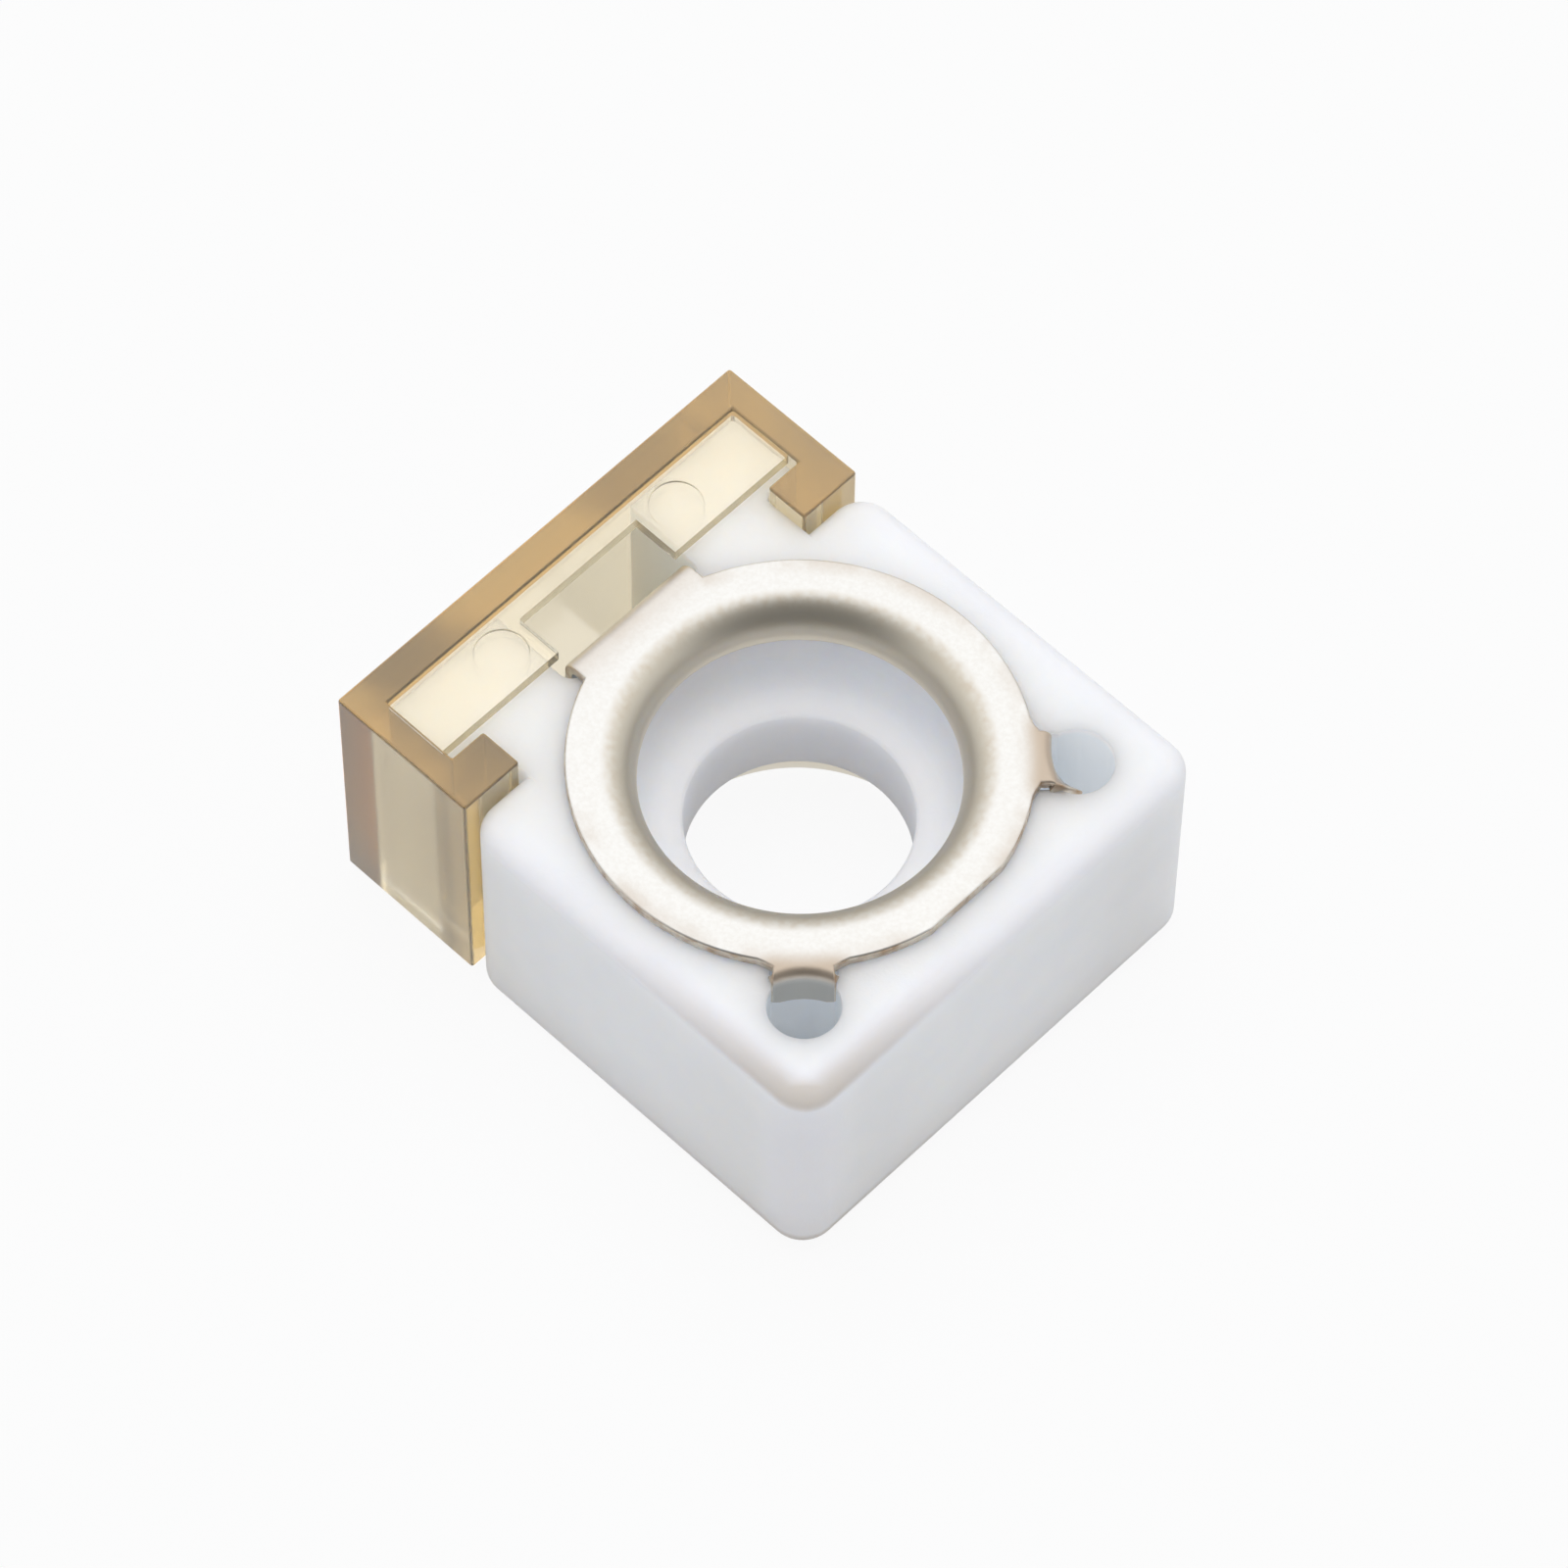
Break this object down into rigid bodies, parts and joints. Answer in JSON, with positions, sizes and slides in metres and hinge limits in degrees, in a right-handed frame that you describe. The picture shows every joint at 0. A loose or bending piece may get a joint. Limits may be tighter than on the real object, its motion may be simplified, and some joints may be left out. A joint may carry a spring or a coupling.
{
  "type": "terminal fuse",
  "caption": "Square ceramic stud-mounted fuse with a folded metal element that forms a contact ring on each face, and an amber clip-on window cover.",
  "frame": {"origin": "on the axis of the stud bore, halfway up the ceramic block, so the two contact faces are the same distance above and below it", "axes": "+Z along the stud bore, out of the upper contact ring; -X towards the window cover; +Y completes a right-handed frame, and the XZ plane is the plane of symmetry"},
  "size_m": [0.0238, 0.0206, 0.0118],
  "materials": {
    "ceramic": "matte",
    "tinned_copper": "satin",
    "amber_plastic": "gloss"
  },
  "bodies": {
    "root": {"ceramic_body": "ceramic", "fuse_element": "tinned_copper", "window_cover": "amber_plastic"}
  },
  "joints": []
}
